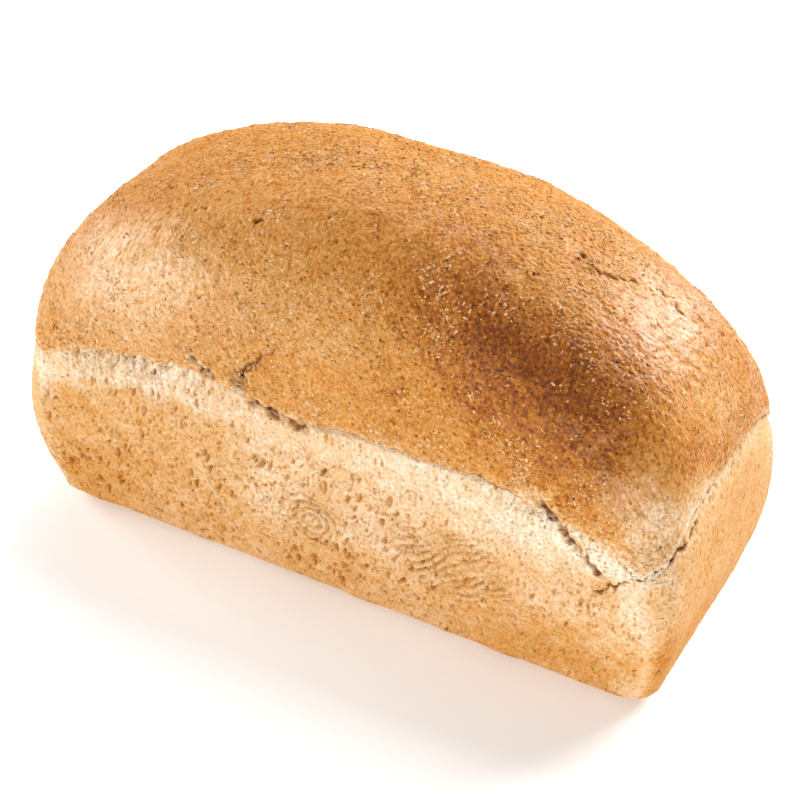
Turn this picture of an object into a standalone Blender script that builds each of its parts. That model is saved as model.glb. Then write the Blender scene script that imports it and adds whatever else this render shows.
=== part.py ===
"""Tin loaf: one closed crust, lofted from the flat base up the tin-formed walls, through the pale band
torn open above the tin's rim, and over the risen dome. Metres, +Z up, origin at the middle of the base."""

import math
import random

import bmesh
import bpy

# Driving dimensions
RIM_WIDTH = 0.110            # across the loaf where it rose out of the tin
RIM_LENGTH = 0.2710
RIM_HEIGHT = 0.0738
BASE_WIDTH = 0.0984
BASE_LENGTH = 0.2612
BASE_ROUNDING = 0.0090
WALL_BULGE = 0.0034          # the walls' belly between base and rim
LIP_WIDTH = 0.1122           # the crust's lip, above the torn band
LIP_LENGTH = 0.2644
LIP_HEIGHT = 0.0885
CORNER_RADIUS = 0.0117
CORNER_DIP = 0.0223          # how far the lip sinks where it turns a corner
CORNER_SHARPNESS = 4.25
DOME_RISE = 0.0733           # crown above lip
DOME_LEAN_WIDTH = 0.0055     # how far the crown sits towards +Y
LIP_TILT = -0.0039           # rise of the lip from the middle to the +X end
END_FULLNESS = 2.09          # 2 is an ellipse, more is boxier
SIDE_FULLNESS = 3.24
SHOULDER_SWELL = 0.003
CROWN_SKEW = 0.026
CROWN_SADDLE = -0.017
PLAN_ROUNDING = 1.04         # how soon the dome's plan turns from the tin's shape to an oval

# The lip's line on the long side at -Y: place along X, how far it rises or sags, half its length
LIP_WAVES = ((-0.062, 0.0022, 0.030), (-0.010, -0.0036, 0.030), (0.062, 0.0018, 0.030))

# Relief of the crust
TEAR_DEPTH = 0.0030          # how far the band is torn in under the lip
STRAND_DEPTH = 0.0007
LIP_RAGGEDNESS = 0.0016
WALL_UNEVENNESS = 0.0007
DOME_UNEVENNESS = 0.0009

# Cracks in the lip at -Y, as (x, z) points: the two that free a flap, and the crumbly one beside it
FLAP_CRACKS = (
    ((-0.0560, 0.1005), (-0.0508, 0.0950), (-0.0450, 0.0900)),
    ((-0.0180, 0.1140), (-0.0296, 0.1030), (-0.0345, 0.0960)),
    ((-0.0290, 0.0870), (-0.0170, 0.0850), (-0.0070, 0.0830)),
)
CRACK_DEPTH = 0.0022
CRACK_HALF_WIDTH = 0.0048

# Grid of the loft
ALONG, ACROSS = 64, 26
FOOT_TURN = math.radians(76.0)
SHOULDER_ANGLE = math.radians(27.0)
CAP_SPACING = 1.25


def smooth_noise(seed, wavelength, terms=9):
    """A seeded sum of sine waves in random directions, about -1 to 1, with bumps of this wavelength."""
    draw = random.Random(seed)
    waves = []
    for _ in range(terms):
        turn, lift = draw.uniform(0, 2 * math.pi), math.asin(draw.uniform(-1, 1))
        pace = 2 * math.pi / (wavelength * draw.uniform(0.75, 1.4))
        waves.append((
            pace * math.cos(lift) * math.cos(turn),
            pace * math.cos(lift) * math.sin(turn),
            pace * math.sin(lift),
            draw.uniform(0, 2 * math.pi),
        ))
    share = 1.6 / terms

    def noise(x, y, z):
        return share * sum(math.sin(kx * x + ky * y + kz * z + phase) for kx, ky, kz, phase in waves)

    return noise


wall_noise = smooth_noise(11, 0.045)
dome_noise = smooth_noise(23, 0.070)
lip_noise = smooth_noise(37, 0.024)
strand_noise = smooth_noise(41, 0.0125)


def hump(value, middle, half_width):
    """1 at the middle, falling smoothly to 0 a half width away."""
    off = min(1.0, abs(value - middle) / half_width)
    return (1 - off * off) ** 2


def tear(x, y):
    """Share of the full tear at a place on the lip: wide open at some stretches, closed at others."""
    opened = 0.2
    if y < 0:
        opened += 0.8 * hump(x, -0.082, 0.060) + 0.8 * hump(x, 0.088, 0.034)
    else:
        opened += 0.6 * hump(x, -0.040, 0.060) + 0.6 * hump(x, 0.070, 0.050)
    opened += 0.4 * hump(y, 0.0, 0.045) * (abs(x) > 0.9 * LIP_LENGTH / 2)
    return min(1.0, opened)


def lip_wave(x, y):
    if y > 0:
        return 0.0
    return sum(rise * hump(x, middle, half_width) for middle, rise, half_width in LIP_WAVES)


def distance_to_segment(x, z, start, end):
    run_x, run_z = end[0] - start[0], end[1] - start[1]
    along = ((x - start[0]) * run_x + (z - start[1]) * run_z) / (run_x ** 2 + run_z ** 2)
    along = min(1.0, max(0.0, along))
    return math.hypot(x - start[0] - along * run_x, z - start[1] - along * run_z)


def crack(x, y, z):
    """Depth of the flap's cracks at a point of the long side at -Y."""
    if y > -0.8 * RIM_WIDTH / 2:
        return 0.0
    nearest = min(
        distance_to_segment(x, z, start, end)
        for line in FLAP_CRACKS
        for start, end in zip(line, line[1:])
    )
    return CRACK_DEPTH * hump(nearest, 0.0, CRACK_HALF_WIDTH)


def outline_point(half_length, half_width, radius, u, v):
    """The point of a rounded rectangle that the edge point (u, v) of a square of side 2 is carried to.

    Both outlines are walked from +X or -X towards +Y or -Y, by equal shares of a quarter's length."""
    if abs(u) >= abs(v):
        share = abs(v) * ACROSS / (ALONG + ACROSS)
    else:
        share = (ACROSS + (1 - abs(u)) * ALONG) / (ALONG + ACROSS)
    end_run, turn, side_run = half_width - radius, math.pi / 2 * radius, half_length - radius
    walked = share * (end_run + turn + side_run)
    if walked < end_run:
        x, y = half_length, walked
    elif walked < end_run + turn:
        angle = (walked - end_run) / radius
        x, y = side_run + radius * math.cos(angle), end_run + radius * math.sin(angle)
    else:
        x, y = side_run - (walked - end_run - turn), half_width
    return math.copysign(x, u), math.copysign(y, v)


def cornerness(x, y, half_length, half_width):
    return (abs(x / half_length) * abs(y / half_width)) ** CORNER_SHARPNESS


def base_point(share, u, v):
    """On the rounding between the base and the walls: share 0 is the base's edge, 1 the wall's foot."""
    angle = share * FOOT_TURN
    inset = BASE_ROUNDING * (math.sin(FOOT_TURN) - math.sin(angle))
    x, y = outline_point(BASE_LENGTH / 2 - inset, BASE_WIDTH / 2 - inset, CORNER_RADIUS, u, v)
    return x, y, BASE_ROUNDING * (1 - math.cos(angle))


def wall_point(share, u, v):
    """On the tin-formed wall: share 0 is its foot and 1 the tin's rim."""
    belly = WALL_BULGE * math.sin(math.pi * share)
    half_length = BASE_LENGTH / 2 + (RIM_LENGTH - BASE_LENGTH) / 2 * share + belly
    half_width = BASE_WIDTH / 2 + (RIM_WIDTH - BASE_WIDTH) / 2 * share + belly
    x, y = outline_point(half_length, half_width, CORNER_RADIUS, u, v)
    foot = BASE_ROUNDING * (1 - math.cos(FOOT_TURN))
    z = foot + (RIM_HEIGHT - foot) * share
    z -= 0.8 * CORNER_DIP * share * share * cornerness(x, y, half_length, half_width)
    out = WALL_UNEVENNESS * math.sin(math.pi * share) * wall_noise(x, y, z)
    return x * (1 + out / half_length), y * (1 + out / half_width), z


def band_point(share, u, v):
    """On the torn band: share 0 is the tin's rim and 1 the underside of the lip."""
    half_length = RIM_LENGTH / 2 + (LIP_LENGTH - RIM_LENGTH) / 2 * share
    half_width = RIM_WIDTH / 2 + (LIP_WIDTH - RIM_WIDTH) / 2 * share
    x, y = outline_point(half_length, half_width, CORNER_RADIUS, u, v)
    z = RIM_HEIGHT + (LIP_HEIGHT - RIM_HEIGHT) * share + LIP_TILT * share * x / (RIM_LENGTH / 2)
    z -= CORNER_DIP * (0.8 + 0.2 * share) * cornerness(x, y, half_length, half_width)
    z += share * (lip_wave(x, y) + LIP_RAGGEDNESS * tear(x, y) * lip_noise(x, y, 0))
    inwards = TEAR_DEPTH * tear(x, y) * share ** 3 + STRAND_DEPTH * strand_noise(x, y, 0.2 * z)
    x, y = outline_point(half_length - inwards, half_width - inwards, CORNER_RADIUS, u, v)
    return x, y + crack(x, y, z), z


def dome_point(rise, u, v):
    """On the dome: rise 0 is the lip and a quarter turn is the crown."""
    level = math.cos(rise)
    swell = 1 + SHOULDER_SWELL * math.sin(2 * rise)
    half_length = LIP_LENGTH / 2 * level ** (2 / END_FULLNESS) * swell
    half_width = LIP_WIDTH / 2 * level ** (2 / SIDE_FULLNESS) * swell
    radius = CORNER_RADIUS + (0.98 * half_width - CORNER_RADIUS) * math.sin(rise) ** PLAN_ROUNDING
    radius = min(radius, 0.98 * half_width, 0.98 * half_length)
    x, y = outline_point(half_length, half_width, radius, u, v)
    near_lip = max(0.0, 1 - 3 * rise)
    z = LIP_HEIGHT + LIP_TILT * x / (RIM_LENGTH / 2)
    z -= CORNER_DIP * cornerness(x, y, half_length, half_width) * level * level
    z += near_lip * (lip_wave(x, y) + LIP_RAGGEDNESS * tear(x, y) * lip_noise(x, y, 0))
    y += DOME_LEAN_WIDTH * (1 - level)
    along = x / (LIP_LENGTH / 2)
    z += DOME_RISE * math.sin(rise) * (1 + CROWN_SKEW * along + CROWN_SADDLE * along * along)
    z += DOME_UNEVENNESS * math.sin(rise) * dome_noise(x, y, z)
    return x, y + crack(x, y, z), z


def crown_point(u, v):
    """On the top of the dome, inside the shoulder: (u, v) runs over a whole square of side 2."""
    reach = max(abs(u), abs(v), 1e-6)
    level = math.cos(SHOULDER_ANGLE) * reach ** CAP_SPACING
    return dome_point(math.acos(level), u / reach, v / reach)


# The sleeve's rows from the base's edge to the shoulder: which surface, and where on it
SLEEVE = (
    [(base_point, share) for share in (0.0, 0.35, 0.7)]
    + [(wall_point, step / 8) for step in range(8)]
    + [(band_point, share) for share in (0.0, 0.3, 0.6, 0.92)]
    + [(dome_point, math.radians(angle)) for angle in (0.0, 3.0, 7.0, 12.0, 19.0, 27.0)]
)


def subdivided_box(mesh, cuts):
    """A cube of side 2 whose edges along X, Y and Z are cut into this many equal parts."""
    bmesh.ops.create_cube(mesh, size=2.0)
    for axis, parts in enumerate(cuts):
        edges = [
            edge for edge in mesh.edges
            if abs(edge.verts[0].co[axis] - edge.verts[1].co[axis]) > 1.0
        ]
        bmesh.ops.subdivide_edges(mesh, edges=edges, cuts=parts - 1, use_grid_fill=True)


def loft(mesh):
    """Carries each point of the subdivided box to its place on the loaf."""
    rows = len(SLEEVE) - 1
    base = []
    for vert in mesh.verts:
        u, v, w = vert.co
        if max(abs(u), abs(v)) > 1 - 1e-5:
            surface, place = SLEEVE[round((w + 1) / 2 * rows)]
            vert.co = surface(place, u, v)
        elif w > 0:
            vert.co = crown_point(u, v)
        else:
            base.append(vert)
    # The base stays one flat face inside the first row.
    bmesh.ops.delete(mesh, geom=base, context="VERTS")
    rim = [edge for edge in mesh.edges if edge.is_boundary]
    bmesh.ops.contextual_create(mesh, geom=rim)
    bmesh.ops.recalc_face_normals(mesh, faces=mesh.faces)


def centre_on_base(mesh):
    """Puts the origin under the middle of the loaf's box, on the base."""
    for axis in (0, 1):
        places = [vert.co[axis] for vert in mesh.verts]
        middle = (min(places) + max(places)) / 2
        for vert in mesh.verts:
            vert.co[axis] -= middle


def crust_material():
    """Baked crust: satin brown, with no metal in it."""
    material = bpy.data.materials.new("baked_crust")
    material.use_nodes = True
    shader = material.node_tree.nodes["Principled BSDF"]
    shader.inputs["Base Color"].default_value = (0.47, 0.21, 0.07, 1.0)
    shader.inputs["Roughness"].default_value = 0.6
    shader.inputs["Metallic"].default_value = 0.0
    return material


for thing in list(bpy.data.objects):
    bpy.data.objects.remove(thing, do_unlink=True)

parts = bpy.data.collections.new("tin_loaf")
bpy.context.scene.collection.children.link(parts)

mesh = bmesh.new()
subdivided_box(mesh, (ALONG, ACROSS, len(SLEEVE) - 1))
loft(mesh)
centre_on_base(mesh)
bmesh.ops.triangulate(mesh, faces=[face for face in mesh.faces if len(face.verts) == 4])

crust = bpy.data.meshes.new("loaf")
mesh.to_mesh(crust)
mesh.free()
crust.materials.append(crust_material())
crust.shade_smooth()
loaf = bpy.data.objects.new("loaf", crust)
parts.objects.link(loaf)
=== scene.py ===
import math
import random

import bpy
import numpy as np
from mathutils import Matrix, Vector


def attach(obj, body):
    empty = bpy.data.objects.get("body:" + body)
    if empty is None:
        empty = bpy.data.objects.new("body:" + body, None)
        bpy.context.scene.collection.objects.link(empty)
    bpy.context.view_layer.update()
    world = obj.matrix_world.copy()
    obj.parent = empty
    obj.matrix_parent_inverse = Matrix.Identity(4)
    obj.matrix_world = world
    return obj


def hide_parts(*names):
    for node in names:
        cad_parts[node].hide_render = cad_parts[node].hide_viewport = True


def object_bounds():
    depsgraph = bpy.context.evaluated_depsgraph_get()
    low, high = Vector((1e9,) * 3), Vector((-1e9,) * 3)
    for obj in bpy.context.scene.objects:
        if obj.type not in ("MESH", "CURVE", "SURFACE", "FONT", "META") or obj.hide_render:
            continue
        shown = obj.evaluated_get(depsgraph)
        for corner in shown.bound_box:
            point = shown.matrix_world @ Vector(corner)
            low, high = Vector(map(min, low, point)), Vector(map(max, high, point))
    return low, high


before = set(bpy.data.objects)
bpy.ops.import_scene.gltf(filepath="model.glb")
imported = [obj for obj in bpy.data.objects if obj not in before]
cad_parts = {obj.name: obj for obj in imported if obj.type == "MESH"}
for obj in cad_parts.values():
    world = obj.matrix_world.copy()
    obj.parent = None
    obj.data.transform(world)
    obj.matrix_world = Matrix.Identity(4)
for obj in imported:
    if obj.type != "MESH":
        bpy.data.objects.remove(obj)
cad_low, cad_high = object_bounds()

# Tin-formed walls and base.
# The crust that the greased tin shaped: thin, matt and pale tan, with the dough's folds and steam pits
# pressed flat against the metal. It is made as a lower and an upper ring of the same skin.
RIM_WIDTH, RIM_LENGTH, RIM_HEIGHT = 0.110, 0.2710, 0.0738
BASE_WIDTH, BASE_LENGTH = 0.0984, 0.2612
BASE_ROUNDING, FOOT_TURN = 0.0090, math.radians(76.0)
WALL_BULGE, WALL_UNEVENNESS = 0.0034, 0.0007
LIP_WIDTH, LIP_LENGTH, LIP_HEIGHT = 0.1122, 0.2644, 0.0885
LIP_TILT, LIP_RAGGEDNESS, TEAR_DEPTH = -0.0039, 0.0016, 0.0030
LIP_WAVES = ((-0.062, 0.0022, 0.030), (-0.010, -0.0036, 0.030), (0.062, 0.0018, 0.030))
CORNER_RADIUS, CORNER_DIP, CORNER_SHARPNESS = 0.0117, 0.0223, 4.25
SKIN_INSET = 0.0004           # keeps the relief inside the loaf's real outline
JOINT_SINK = 50.0             # depth of a ring's edge under its neighbour, for each metre squared past it
WALL_COLUMNS, WALL_SPLIT = 1240, 0.5


def sine_noise(seed, wavelength, terms=9):
    """A seeded sum of sine waves in random directions, about -1 to 1, with bumps of this wavelength."""
    draw = random.Random(seed)
    waves = []
    for _ in range(terms):
        turn, lift = draw.uniform(0, 2 * math.pi), math.asin(draw.uniform(-1, 1))
        pace = 2 * math.pi / (wavelength * draw.uniform(0.75, 1.4))
        waves.append((
            pace * math.cos(lift) * math.cos(turn),
            pace * math.cos(lift) * math.sin(turn),
            pace * math.sin(lift),
            draw.uniform(0, 2 * math.pi),
        ))
    share = 1.6 / terms

    def noise(x, y, z):
        return share * sum(np.sin(kx * x + ky * y + kz * z + phase) for kx, ky, kz, phase in waves)

    return noise


def hump(value, middle, half_width):
    """(1 - off²)², with off the distance from the middle in half widths: 1 there, 0 from 1 half width."""
    off = np.minimum(1.0, np.abs(value - middle) / half_width)
    return (1 - off * off) ** 2


def ramp(value, low, high):
    """0 below low, 1 above high, and 3t² - 2t³ between them."""
    t = np.clip((value - low) / (high - low), 0.0, 1.0)
    return t * t * (3 - 2 * t)


def blob(points, middle, reach):
    """A soft patch: a hump of the distance from its middle, each axis measured in its own reach."""
    off = np.sqrt((((points - np.array(middle)) / np.array(reach)) ** 2).sum(axis=1))
    return hump(off, 0.0, 1.0)


def patches(points, table):
    """The sum of soft patches, each given as its strength, middle and reach."""
    return sum(strength * blob(points, place, reach) for strength, place, reach in table)


def scattered(cell, seed, turn):
    """One random number from 0 to 1 for each lattice cell, by mixing the bits of its three indices."""
    mixed = cell[:, 0] * 73856093 ^ cell[:, 1] * 19349663 ^ cell[:, 2] * 83492791
    mixed = (mixed ^ (seed * 2654435761 + turn * 40503)) & 0xFFFFFFFF
    for shift, factor in ((16, 0x45D9F3B), (15, 0x119DE1F3), (16, 1)):
        mixed = ((mixed ^ (mixed >> shift)) * factor) & 0xFFFFFFFF
    return mixed / 0xFFFFFFFF


def bumps(points, wavelength, seed):
    """Lattice noise, -1 to 1: random heights at the corners of cubes half a wavelength wide, blended
    across each cube by the smooth step of the three fractions."""
    scaled = points / (wavelength / 2)
    cell = np.floor(scaled).astype(np.int64)
    part = scaled - cell
    part = part * part * (3 - 2 * part)
    total = np.zeros(len(points))
    for corner in np.ndindex(2, 2, 2):
        weight = np.prod(np.where(np.array(corner), part, 1 - part), axis=1)
        total += weight * (2 * scattered(cell + np.array(corner), seed, 0) - 1)
    return 1.5 * total


def drift(points, wavelength, seeds):
    """Three lattice noises of one wavelength, as an offset along X, Y and Z."""
    return np.stack([bumps(points, wavelength, seed) for seed in seeds], axis=1)


def pits(points, spacing, small, large, share, seed, tilt=0.0):
    """Round spots, 0 to 1: each cube of the lattice holds one random point with this share of chance, and
    a place within its random radius r has height (1 - (d/r)²)². A tilt lifts one side of every spot."""
    scaled = points / spacing
    cell = np.floor(scaled).astype(np.int64)
    highest = np.zeros(len(points))
    for step in np.ndindex(3, 3, 3):
        home = cell + np.array(step) - 1
        chance = [scattered(home, seed, turn) for turn in range(1, 6)]
        off = scaled - home - np.stack(chance[:3], axis=1)
        radius = (small + (large - small) * chance[3] ** 2) / spacing
        far = np.minimum(np.sqrt((off ** 2).sum(axis=1)) / radius, 1.0)
        spot = (1 - far ** 2) ** 2
        if tilt:
            lean = np.stack(chance[1:4], axis=1) - 0.5
            lean /= np.linalg.norm(lean, axis=1, keepdims=True) + 1e-9
            spot = np.sqrt(spot) * (1 - tilt / 2 + tilt * (off * lean).sum(axis=1) / radius)
        highest = np.maximum(highest, (chance[4] < share) * spot)
    return highest


def near_chain(points, chain):
    """Distance from each point to a chain of straight runs, the least over its runs."""
    nearest = np.full(len(points), 1.0)
    for start, end in zip(np.array(chain), np.array(chain)[1:]):
        run = end - start
        share = np.clip((points - start) @ run / (run @ run), 0, 1)
        nearest = np.minimum(nearest, np.linalg.norm(points - start - share[:, None] * run, axis=1))
    return nearest


def outline(half_length, half_width, radius, way):
    """A rounded rectangle walked counter-clockwise from +X at an even pace. The way is 1 for each quarter:
    straight up the end, round the corner's arc, then straight along the side."""
    quarter = np.floor(way).astype(int) % 4
    share = way - np.floor(way)
    share = np.where(quarter % 2 == 1, 1 - share, share)
    end_run, turn, side_run = half_width - radius, math.pi / 2 * radius, half_length - radius
    walked = share * (end_run + turn + side_run)
    angle = np.clip((walked - end_run) / radius, 0.0, math.pi / 2)
    x = side_run + radius * np.cos(angle) - np.maximum(0.0, walked - end_run - turn)
    y = np.minimum(walked, end_run) + radius * np.sin(angle)
    return x * np.array([1, -1, -1, 1])[quarter], y * np.array([1, 1, -1, -1])[quarter]


def cornerness(x, y, half_length, half_width):
    """1 at the corner of the outline's box, falling steeply to 0 along its sides and ends."""
    return (np.abs(x / half_length) * np.abs(y / half_width)) ** CORNER_SHARPNESS


def tear(x, y):
    """Share of the full tear under the lip, 0.2 to 1: humps along each long side and at each end."""
    front = 0.8 * hump(x, -0.082, 0.060) + 0.8 * hump(x, 0.088, 0.034)
    back = 0.6 * hump(x, -0.040, 0.060) + 0.6 * hump(x, 0.070, 0.050)
    ends = 0.4 * hump(y, 0.0, 0.045) * (np.abs(x) > 0.9 * LIP_LENGTH / 2)
    return np.minimum(1.0, 0.2 + np.where(y < 0, front, back) + ends)


wall_noise = sine_noise(11, 0.045)
lip_noise = sine_noise(37, 0.024)


def lip_lift(x, y):
    """The lip's rise above its even line: its waves on the long side at -Y, and its raggedness."""
    waves = sum(rise * hump(x, middle, half_width) for middle, rise, half_width in LIP_WAVES)
    return np.where(y < 0, waves, 0.0) + LIP_RAGGEDNESS * tear(x, y) * lip_noise(x, y, 0)


def lip_line(x, y):
    """Height of the lip at a place, with its tilt, waves and dips at the corners."""
    inner_y = np.clip(y, -LIP_WIDTH / 2, LIP_WIDTH / 2)
    corner = cornerness(np.clip(x, -LIP_LENGTH / 2, LIP_LENGTH / 2), inner_y, LIP_LENGTH / 2, LIP_WIDTH / 2)
    return LIP_HEIGHT + LIP_TILT * x / (RIM_LENGTH / 2) + lip_lift(x, y) - CORNER_DIP * corner


def base_surface(way, share):
    """Share 0 is the base's middle and 1 its edge: the edge's outline shrunk about the origin."""
    reach = BASE_ROUNDING * math.sin(FOOT_TURN)
    x, y = outline(BASE_LENGTH / 2 - reach, BASE_WIDTH / 2 - reach, CORNER_RADIUS, way)
    return np.stack([x * share, y * share, 0 * x], axis=-1)


def foot_surface(way, share):
    """Share 0 is the base's edge and 1 the wall's foot: an arc that turns up by the foot's angle."""
    angle = share * FOOT_TURN
    inset = BASE_ROUNDING * (math.sin(FOOT_TURN) - np.sin(angle))
    x, y = outline(BASE_LENGTH / 2 - inset, BASE_WIDTH / 2 - inset, CORNER_RADIUS, way)
    return np.stack([x, y, BASE_ROUNDING * (1 - np.cos(angle)) + 0 * x], axis=-1)


def side_surface(way, climb):
    """Climb 0 is the wall's foot, 1 the tin's rim and 2 the lip. Below the rim half sizes grow in a line
    plus a sine belly; above it they run in a line to the lip, and the outline is drawn in by the tear."""
    wall, band = np.minimum(climb, 1.0), np.maximum(climb - 1.0, 0.0)
    belly = WALL_BULGE * np.sin(math.pi * wall)
    half_length = BASE_LENGTH / 2 + (RIM_LENGTH - BASE_LENGTH) / 2 * wall + belly
    half_width = BASE_WIDTH / 2 + (RIM_WIDTH - BASE_WIDTH) / 2 * wall + belly
    half_length = half_length + (LIP_LENGTH - RIM_LENGTH) / 2 * band
    half_width = half_width + (LIP_WIDTH - RIM_WIDTH) / 2 * band
    x, y = outline(half_length, half_width, CORNER_RADIUS, way)
    corner = cornerness(x, y, half_length, half_width)
    foot = BASE_ROUNDING * (1 - math.cos(FOOT_TURN))
    z = foot + (RIM_HEIGHT - foot) * wall - 0.8 * CORNER_DIP * wall * wall * corner
    z = z + (LIP_HEIGHT - RIM_HEIGHT + LIP_TILT * x / (RIM_LENGTH / 2) - 0.2 * CORNER_DIP * corner) * band
    z = z + np.minimum(band, 1.0) * lip_lift(x, y)
    inset = TEAR_DEPTH * tear(x, y) * np.minimum(band, 1.0) ** 3
    x, y = outline(half_length - inset, half_width - inset, CORNER_RADIUS, way)
    out = WALL_UNEVENNESS * np.sin(math.pi * wall) * wall_noise(x, y, z)
    return np.stack([x * (1 + out / half_length), y * (1 + out / half_width), z], axis=-1)


def tube_faces(rows, columns):
    """Quads of a tube whose rows of points close on themselves, each row after the first further along."""
    row, column = np.mgrid[0:rows - 1, 0:columns]
    here = row * columns + column
    beside = row * columns + (column + 1) % columns
    return np.stack([here, beside, beside + columns, here + columns], axis=-1).reshape(-1, 4)


def outward(points, quads):
    """Unit normals at the points: the cross products of the quads' diagonals, summed at their corners."""
    across = points[quads[:, 2]] - points[quads[:, 0]]
    along = points[quads[:, 3]] - points[quads[:, 1]]
    turned = np.cross(across, along)
    total = np.stack([
        sum(np.bincount(quads[:, corner], turned[:, axis], len(points)) for corner in range(4))
        for axis in range(3)
    ], axis=1)
    return total / np.maximum(np.linalg.norm(total, axis=1, keepdims=True), 1e-12)


# Openings that cross the walls, the band and the lip: half width, depth, how broken up, and a chain of
# places on the crust. They are the crumbly gaps under the lip and the crack round the near corner.
CREVICES = (
    (0.0019, 0.0020, 0.7, ((-0.0290, -0.056, 0.0868), (-0.0170, -0.056, 0.0843), (-0.0070, -0.056, 0.0826))),
    (0.0018, 0.0020, 0.6, ((0.0860, -0.056, 0.0868), (0.0930, -0.056, 0.0800), (0.0993, -0.055, 0.0742),
                           (0.1095, -0.055, 0.0652))),
    (0.0008, 0.0016, 0.0, ((0.1088, -0.0558, 0.0575), (0.1189, -0.0550, 0.0655), (0.1255, -0.0541, 0.0697),
                           (0.1285, -0.0507, 0.0715), (0.1305, -0.0475, 0.0742), (0.1318, -0.0440, 0.0768),
                           (0.1332, -0.0390, 0.0756), (0.1331, -0.0339, 0.0777), (0.1328, -0.0282, 0.0796))),
)


def openings(points):
    """How open (0 to 1) and how deep the crevices are: 1 within a third of the half width of a wandering
    line, and thinned where a coarse noise is low."""
    wander = 0.0009 * drift(points, 0.0036, (51, 52, 53))
    gaps = ramp(bumps(points, 0.0050, 50), -0.5, 0.3)
    opened, depth = np.zeros(len(points)), np.zeros(len(points))
    for half_width, deepest, broken, chain in CREVICES:
        here = 1 - ramp(near_chain(points + wander, chain), 0.35 * half_width, 1.5 * half_width)
        here = here * (1 - broken + broken * gaps)
        opened, depth = np.maximum(opened, here), np.maximum(depth, deepest * here)
    return opened, depth


# The pale edge down a corner, the bulb of dough beside the corner's crack, the swirl of folds at the
# middle of the long side, and the close ripples to its right.
CORNER_SEAM = ((0.1300, -0.0550, 0.0640), (0.1272, -0.0535, 0.0300), (0.1240, -0.0485, 0.0050))
BULB, BULB_REACH = (0.1056, -0.0552, 0.0657), (0.0030, 0.0060, 0.0034)
SWIRL, SWIRL_REACH = (-0.0063, -0.0555, 0.0409), (0.019, 0.030, 0.018)
RIPPLES, RIPPLES_REACH, RIPPLE_SPACING = (0.0520, -0.0550, 0.0440), (0.036, 0.030, 0.022), 0.0031

# Patches of the walls browner or paler than the rest: change of the browning, middle and reach.
WALL_BROWNING = 0.35
WALL_PATCHES = (
    (0.13, (-0.105, -0.050, 0.018), (0.060, 0.050, 0.034)),
    (0.17, (0.090, -0.050, 0.014), (0.060, 0.040, 0.034)),
    (0.20, (0.134, -0.050, 0.034), (0.010, 0.016, 0.024)),
    (-0.14, (0.000, -0.055, 0.046), (0.065, 0.030, 0.026)),
    (0.20, (-0.128, -0.050, 0.052), (0.040, 0.050, 0.036)),
    (-0.16, (0.090, -0.056, 0.070), (0.030, 0.030, 0.016)),
    (-0.06, (0.090, -0.056, 0.045), (0.036, 0.030, 0.016)),
)
CORNER_PATCH = (0.1280, -0.0540, 0.0610), (0.0100, 0.0120, 0.0110)


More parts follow.
